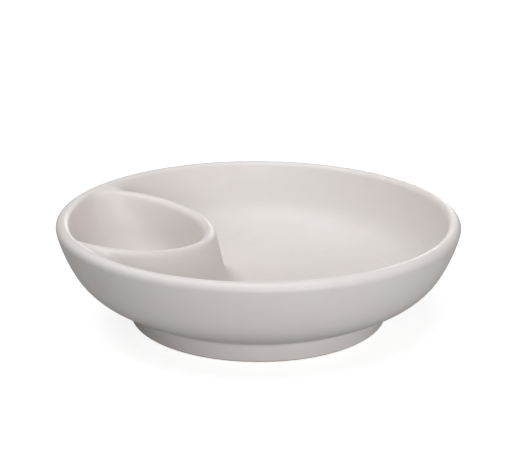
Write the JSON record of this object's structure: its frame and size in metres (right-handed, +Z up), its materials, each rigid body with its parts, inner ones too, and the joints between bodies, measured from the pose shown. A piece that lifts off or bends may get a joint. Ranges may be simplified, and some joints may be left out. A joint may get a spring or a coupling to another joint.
{
  "type": "chip and dip server",
  "caption": "Round footed ceramic bowl for chips, with a raised-wall dip well built in against one side.",
  "frame": {"origin": "centre of the plane that the foot ring rests on, under the bowl's own axis", "axes": "+Z up along the bowl's axis, -X towards the dip well, and -Y towards the viewer, so the server is symmetric about the XZ plane"},
  "size_m": [0.305, 0.305, 0.0795],
  "materials": {
    "glazed_clay": "satin",
    "foot_clay": "satin"
  },
  "bodies": {
    "root": {"bowl_shell": "glazed_clay", "dip_cup_wall": "glazed_clay", "cup_outer_coil": "glazed_clay", "cup_inner_coil": "glazed_clay", "foot_ring": "foot_clay"}
  },
  "joints": []
}
